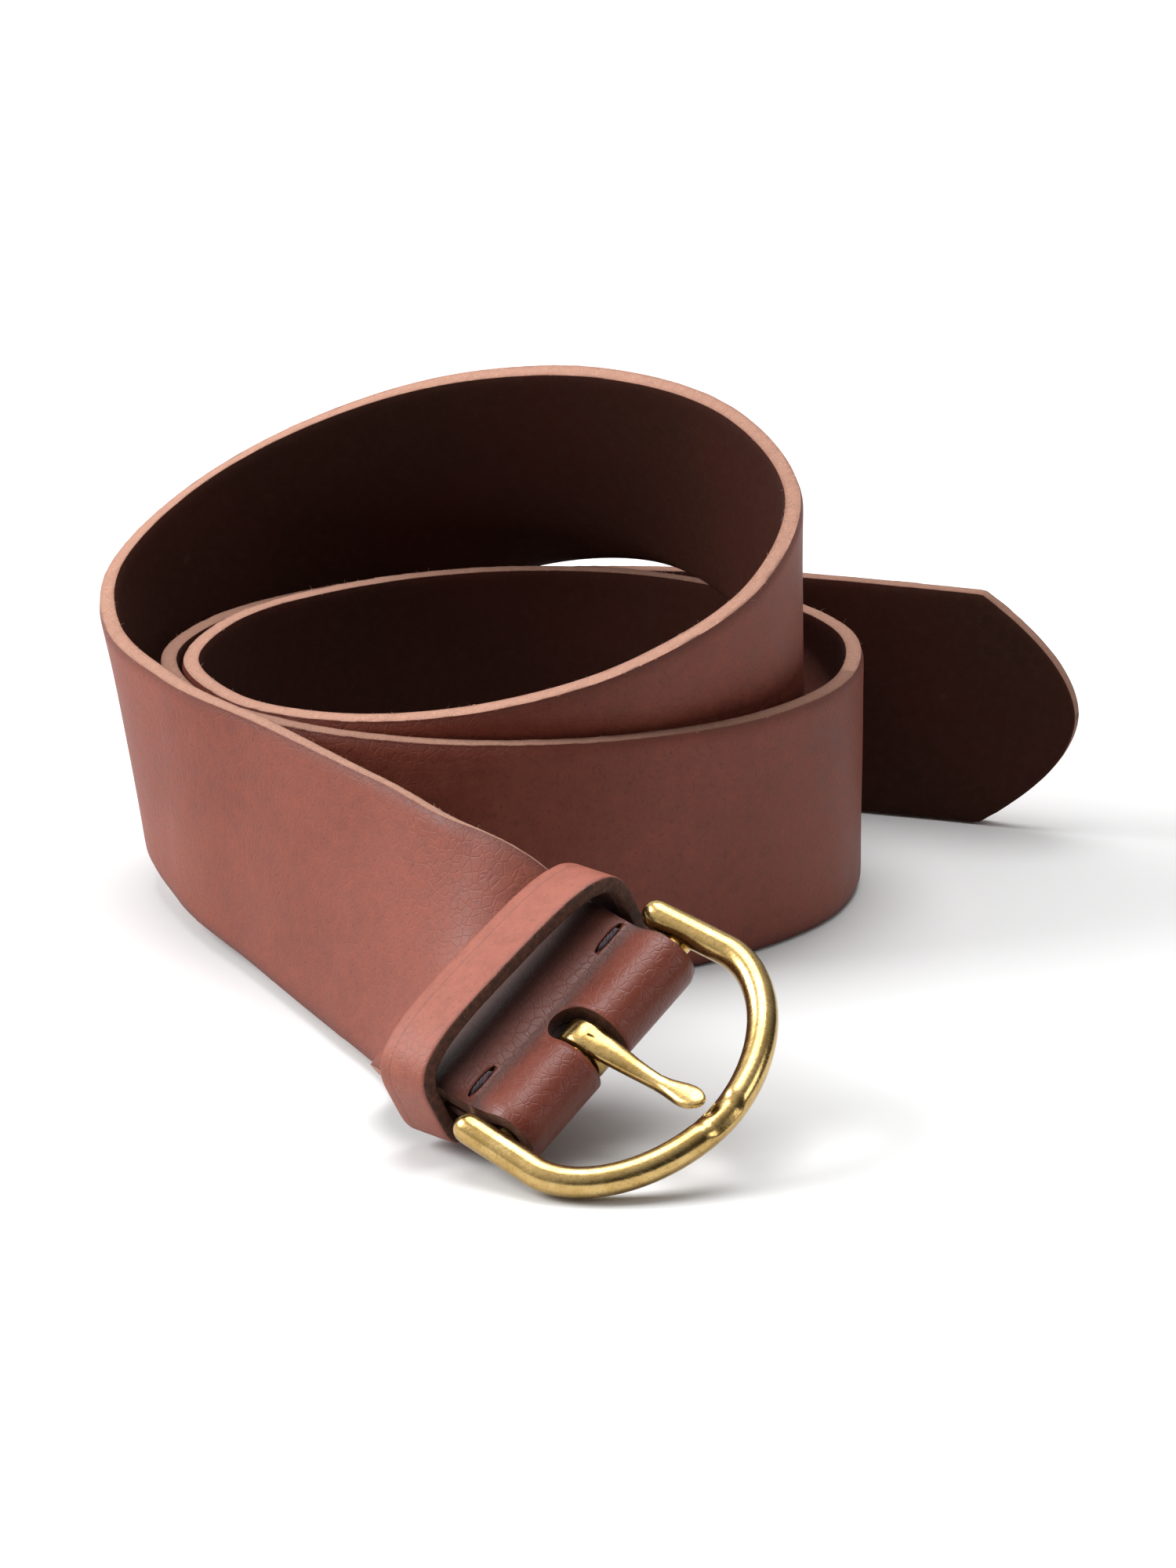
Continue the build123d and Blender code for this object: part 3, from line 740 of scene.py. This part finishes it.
# ------------------------------------------------------------------ buckle frame
def frame_line():
    """Centre line of the wire D in (u, v)."""
    spread = ARM_HALF_FRONT - ARM_HALF_BACK
    arm = [(t * (ARM_FRONT - ARM_BACK), t * spread) for t in np.linspace(0, 1, 14)]
    pts = [(ARM_BACK + u, -ARM_HALF_BACK - v) for u, v in arm[:-1]]
    power = 2 / BOW_POWER
    for angle in np.linspace(-90, 90, 121):
        a = math.radians(angle)
        u = ARM_FRONT + BOW_REACH * max(math.cos(a), 0.0) ** power
        v = ARM_HALF_FRONT * math.copysign(abs(math.sin(a)) ** power, math.sin(a))
        pts.append((u, v))
    return pts + [(ARM_FRONT - u, ARM_HALF_FRONT - v) for u, v in arm[1:]]


def build_frame():
    """The wire D, round at its ends, with the tongue's rest and notch worn into it."""
    rounding = (0.8, 1.45, 1.95, 2.25, 2.38)
    line = frame_line()
    line = [(line[0][0] - e, line[0][1]) for e in rounding[::-1]] + line
    line += [(line[-1][0] - e, line[-1][1]) for e in rounding]
    radii = []
    for u, v in line:
        back = max(ARM_BACK - u, 0)
        radii.append(math.sqrt(max(WIRE_RADIUS**2 - back**2, 0.02)) * (2.38 / WIRE_RADIUS))
    verts, faces = tube([at(u, v, WIRE_DROP) for u, v in line], radii, 48, OUTWARD)
    verts = np.array(verts)
    q = verts - BAR
    u, v, n = q @ FORWARD, q @ ACROSS, q @ OUTWARD
    # the shallow rest for the tongue, with a rounded notch in it
    rest = (1 - step(abs(v - TONGUE_V), 2.6, 4.2)) * step(u, 19.0, 21.5) * step(n, 2.4, 3.6)
    verts -= OUTWARD[None] * (0.45 * rest)[:, None]
    dist = np.sqrt((u - 23.1) ** 2 + (v - TONGUE_V) ** 2 + (n - 4.4) ** 2)
    verts -= OUTWARD[None] * (np.maximum(1.9 - dist, 0) * 0.9)[:, None]
    dents = wobble(verts, 0.12, 12.0) * 0.03
    verts += OUTWARD[None] * dents[:, None]
    low = 1 - step(n, -0.4, 1.6)
    outer = np.hypot(np.maximum(u - ARM_FRONT, 0) / BOW_REACH, v / ARM_HALF_FRONT)
    low = low * step(outer, 0.9, 1.0)
    # painted shade in the notch under the tongue's tip
    shade = np.clip(1.7 - dist, 0, 1)
    return make_object("buckle_frame_brass", verts, faces, (BRASS,), None, {"low": low, "shade": shade})


buckle = build_frame()
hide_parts("buckle_frame")
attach(buckle, "buckle")


# ------------------------------------------------------------------ tongue
def build_tongue():
    """Ring round the bar and a waisted shank ending in a flat spoon tip."""
    sections = [
        (0.6, 3.2, 4.6, 2.3), (2.5, 3.15, 4.55, 2.4), (4.5, 3.0, 4.3, 2.4), (6.8, 2.7, 3.8, 2.35),
        (9.0, 2.4, 3.3, 2.2), (11.3, 2.25, 2.85, 2.15), (13.5, 2.2, 2.6, 2.1), (15.4, 2.4, 2.9, 2.05),
        (17.0, 2.7, 3.5, 2.0), (18.3, 2.95, 4.0, 1.9), (19.5, 3.2, 4.2, 1.8), (20.5, 3.45, 3.8, 1.6),
        (21.2, 3.6, 3.2, 1.4), (21.8, 3.75, 2.4, 1.1), (22.2, 3.85, 1.5, 0.7), (22.4, 3.9, 0.6, 0.3),
    ]
    ring = 28
    verts = []
    for u, n, width, thick in sections:
        flat = float(step(u, 14, 19))
        for k in range(ring):
            a = 2 * math.pi * k / ring
            power = 0.9 - 0.15 * flat
            x = math.copysign(abs(math.cos(a)) ** power, math.cos(a)) * width / 2
            y = math.copysign(abs(math.sin(a)) ** power, math.sin(a)) * thick / 2
            verts.append(at(u, TONGUE_V + x, n + y))
    faces = grid_faces(len(sections), ring) + end_faces(len(sections), ring)
    shank = make_object("tongue_brass", verts, faces, (BRASS,))
    count = 48
    # across the ring and out from the bar, with eased outer corners
    half = [(2.3, 2.1), (2.3, 3.9), (2.1, 4.2), (1.7, 4.38)]
    profile = [(-half[0][0], half[0][1])] + half + [(-v, r) for v, r in half[:0:-1]]
    verts = []
    for k in range(count):
        a = 2 * math.pi * k / count
        for v, r in profile:
            verts.append(at(r * math.cos(a), TONGUE_V + v, r * math.sin(a)))
    size = len(profile)
    faces = []
    for k in range(count):
        m = (k + 1) % count
        for j in range(size):
            i = (j + 1) % size
            faces.append((k * size + j, k * size + i, m * size + i, m * size + j))
    ring_obj = make_object("tongue_ring", verts, faces, (BRASS,))
    bpy.context.view_layer.update()
    mod = shank.modifiers.new("join", "BOOLEAN")
    mod.object = ring_obj
    mod.operation = "UNION"
    mod.solver = "EXACT"
    apply(shank)
    bpy.data.objects.remove(ring_obj)
    for poly in shank.data.polygons:
        poly.use_smooth = True
    return shank


tongue = build_tongue()
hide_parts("tongue")
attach(tongue, "prong")


# ------------------------------------------------------------------ keeper
KEEPER_TILT = math.radians(-22.0)
KEEPER_YAW = math.radians(-2.0)
KEEPER_HALF_WIDTH = 24.0
KEEPER_HALF_HEIGHT = 9.8
KEEPER_WALL = 2.4
KEEPER_LENGTH = 10.0
KEEPER_TOP_POWER = 3.5
KEEPER_UNDER_POWER = 6.0
KEEPER_STEPS = 240
# The section across the band's wall, from its front edge over the outside to its back edge
# and home along the inside: how far back, and where between inside (-1) and outside (1)
FRONT_EDGE = [
    (0.12, -0.9), (0.02, -0.7), (0.0, -0.35), (0.0, 0), (0.0, 0.35),
    (0.03, 0.7), (0.15, 0.86), (0.45, 0.96), (0.9, 1.0),
]
CREASE = [(7.3, 0.995), (7.55, 0.97), (7.8, 0.985)]
BACK_EDGE = [
    (8.2, 1.0), (8.9, 1.0), (9.4, 0.97), (9.8, 0.9), (9.97, 0.72),
    (10.0, 0.35), (10.0, 0), (10.0, -0.35), (9.98, -0.7), (9.88, -0.9),
]
OUTSIDE = [(back, 1.0) for back in (1.5, 2.2, 3.0, 4.0, 5.0, 6.0, 6.9)]
INSIDE = [(back, -1.0) for back in (8.0, 5.0, 2.0)]
KEEPER_SECTION = FRONT_EDGE + OUTSIDE + CREASE + BACK_EDGE + INSIDE


def keeper_direction(along, across, up):
    """A direction in the keeper's axes (its length, its width, its height), in the model's."""
    x = along * math.cos(KEEPER_TILT) + up * math.sin(KEEPER_TILT)
    z = up * math.cos(KEEPER_TILT) - along * math.sin(KEEPER_TILT)
    forward = x * math.cos(KEEPER_YAW) - across * math.sin(KEEPER_YAW)
    sideways = x * math.sin(KEEPER_YAW) + across * math.cos(KEEPER_YAW)
    return FORWARD * forward + ACROSS * sideways + OUTWARD * z


KEEPER_ALONG = keeper_direction(1, 0, 0)
KEEPER_ACROSS = keeper_direction(0, 1, 0)
KEEPER_UP = keeper_direction(0, 0, 1)
KEEPER_FRONT = at(-9.95, -0.35, 2.45)


def keeper_ring(inset):
    """Evenly spaced points round a flat-sided oval, squarer underneath, from the seam on."""
    pts = []
    for i in range(KEEPER_STEPS):
        a = 2 * math.pi * (i + 0.5) / KEEPER_STEPS - math.pi / 2
        power = 2 / (KEEPER_TOP_POWER if math.sin(a) >= 0 else KEEPER_UNDER_POWER)
        x = math.copysign(abs(math.cos(a)) ** power, math.cos(a)) * (KEEPER_HALF_WIDTH - inset)
        y = math.copysign(abs(math.sin(a)) ** power, math.sin(a)) * (KEEPER_HALF_HEIGHT - inset)
        pts.append((x, y))
    dense = np.array(pts + pts[:1])
    length = np.concatenate([[0], np.cumsum(np.linalg.norm(np.diff(dense, axis=0), axis=1))])
    even = np.linspace(0, length[-1], KEEPER_STEPS + 1)[:-1]
    return np.c_[np.interp(even, length, dense[:, 0]), np.interp(even, length, dense[:, 1])]


def build_keeper():
    """The leather band: rounded, burnished edges, a crease near its back, a seam underneath."""
    outer = keeper_ring(0.0)
    inner = keeper_ring(KEEPER_WALL)
    verts = []
    parts = []
    edge = []
    shade = []
    for m, h in zip((outer + inner) / 2, (outer - inner) / 2):
        for back, t in KEEPER_SECTION:
            p = m + h * t
            verts.append(KEEPER_FRONT - KEEPER_ALONG * back + KEEPER_ACROSS * p[0] + KEEPER_UP * p[1])
            rim = min(back, KEEPER_LENGTH - back)
            if t > 0.8 and rim > 0.1:
                parts.append(0)
            else:
                parts.append(1 if rim < 0.15 else 2)
            edge.append(max(1 - rim / 0.75, 0) if t > 0.8 else 0)
            # painted shade along the crease, which the grain material darkens to grey
            shade.append(0.35 if (back, t) == CREASE[1] else 0.0)
    cols = len(KEEPER_SECTION)
    faces = grid_faces(KEEPER_STEPS, cols)
    kinds = []
    for f in faces:
        found = {parts[f[0]], parts[f[1]]}
        kinds.append(0 if found == {0} else (2 if 2 in found and 1 not in found else 1))
    faces += end_faces(KEEPER_STEPS, cols)
    kinds += [1, 1]
    verts = np.array(verts)
    verts += wobble(verts, 0.5, 21.0)[:, None] * 0.05 * KEEPER_UP[None]
    zero = np.zeros(len(verts))
    return make_object(
        "keeper_leather", verts, faces, (KEEPER_GRAIN, CUT, FLESH), kinds,
        {"edge": edge, "shade": shade, "bend": zero, "line": zero},
    )


keeper = build_keeper()
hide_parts("keeper_band")
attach(keeper, "belt")


# ------------------------------------------------------------------ tack stitches
def build_tack(side, name):
    """Four plies of waxed thread twisted together, lying in the slit."""
    verts = []
    faces = []
    middle_v = FOLD_SHIFT + side * TACK_V
    for strand in range(4):
        pts = []
        radii = []
        for t in np.linspace(0, 1, 37):
            spin = 3.2 * math.pi * t + strand * math.pi / 2
            dip = max(0, abs(t - 0.5) - 0.36) / 0.14
            wide = 0.30 * math.sin(math.pi * min(max(t, 0.12), 0.88))
            v = middle_v + (t - 0.5) * 5.3
            pts.append(at(TACK_U + wide * math.cos(spin), v, 2.98 + 0.24 * math.sin(spin) - dip))
            radii.append(0.24 + 0.02 * math.sin(9 * t + strand))
        points, quads = tube(pts, radii, 10)
        faces += [tuple(len(verts) + k for k in f) for f in quads]
        verts += points
    return make_object(name, verts, faces, (THREAD,))


for side, node in ((-1, "near_tack_stitch"), (1, "far_tack_stitch")):
    tack = build_tack(side, node + "_thread")
    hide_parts(node)
    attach(tack, "belt")

# ------------------------------------------------------------------ CAD pieces kept, given their finish
for node, mat in (("centre_bar", BRASS), ("keeper_staples", WIRE)):
    obj = frame["nodes"][node]
    obj.data.materials.clear()
    obj.data.materials.append(mat)

# ------------------------------------------------------------------ floor, lights, camera
FLOOR_HALF = 6.0
FLOOR_LEVEL = -0.0004


def build_floor():
    """A plain pale sheet just under the belt."""
    mesh = bpy.data.meshes.new("floor")
    signs = ((-1, -1), (1, -1), (1, 1), (-1, 1))
    corners = [(x * FLOOR_HALF, y * FLOOR_HALF, FLOOR_LEVEL) for x, y in signs]
    mesh.from_pydata(corners, [], [(0, 1, 2, 3)])
    mesh.materials.append(paper("pale_paper"))
    floor = bpy.data.objects.new("floor", mesh)
    SCENE.collection.objects.link(floor)


build_floor()


def studio_world():
    """A soft studio: bright overhead and to the left, darker in front and to the right."""
    world = bpy.data.worlds.new("studio")
    SCENE.world = world
    world.use_nodes = True
    tree = world.node_tree
    back = tree.nodes["Background"]
    coord = tree.nodes.new("ShaderNodeTexCoord")
    split = tree.nodes.new("ShaderNodeSeparateXYZ")
    tree.links.new(coord.outputs["Generated"], split.inputs[0])
    total = None
    for axis, weight in (("X", -0.30), ("Y", 0.16), ("Z", 0.42)):
        part = tree.nodes.new("ShaderNodeMath")
        part.operation = "MULTIPLY"
        part.inputs[1].default_value = weight
        tree.links.new(split.outputs[axis], part.inputs[0])
        if total is None:
            total = part.outputs[0]
            continue
        add = tree.nodes.new("ShaderNodeMath")
        add.operation = "ADD"
        tree.links.new(total, add.inputs[0])
        tree.links.new(part.outputs[0], add.inputs[1])
        total = add.outputs[0]
    ramp = tree.nodes.new("ShaderNodeMapRange")
    ramp.interpolation_type = "SMOOTHSTEP"
    tree.links.new(total, ramp.inputs["Value"])
    for key, value in (("From Min", -0.15), ("From Max", 0.5), ("To Min", 0.03), ("To Max", 0.95)):
        ramp.inputs[key].default_value = value
    tree.links.new(ramp.outputs["Result"], back.inputs["Strength"])
    back.inputs["Color"].default_value = (1, 1, 1, 1)


studio_world()


def area(name, place, aim, power, size):
    """A square soft light at a place, aimed at a point."""
    data = bpy.data.lights.new(name, "AREA")
    data.energy = power
    data.shape = "RECTANGLE"
    data.size = size
    data.size_y = size
    lamp = bpy.data.objects.new(name, data)
    lamp.location = place
    lamp.rotation_euler = (Vector(aim) - Vector(place)).to_track_quat("-Z", "Y").to_euler()
    SCENE.collection.objects.link(lamp)


area("key_left", (-1.3, 0.0, 0.95), (0, 0, 0.03), 29, 0.8)
area("top", (0.0, 0.25, 1.35), (0, 0, 0.0), 16, 0.9)
area("front_right", (1.3, -0.4, 0.6), (0, 0, 0.03), 3.0, 0.5)

camera = bpy.data.cameras.new("camera")
camera.lens = 189.5
camera.sensor_width = 36.0
camera.sensor_fit = "AUTO"
camera.clip_start = 0.05
camera.clip_end = 50
cam = bpy.data.objects.new("camera", camera)
cam.location = (-0.00092, -1.2132, 0.47458)
cam.rotation_euler = (math.radians(70), 0, 0)
SCENE.collection.objects.link(cam)
SCENE.camera = cam

bpy.context.view_layer.update()
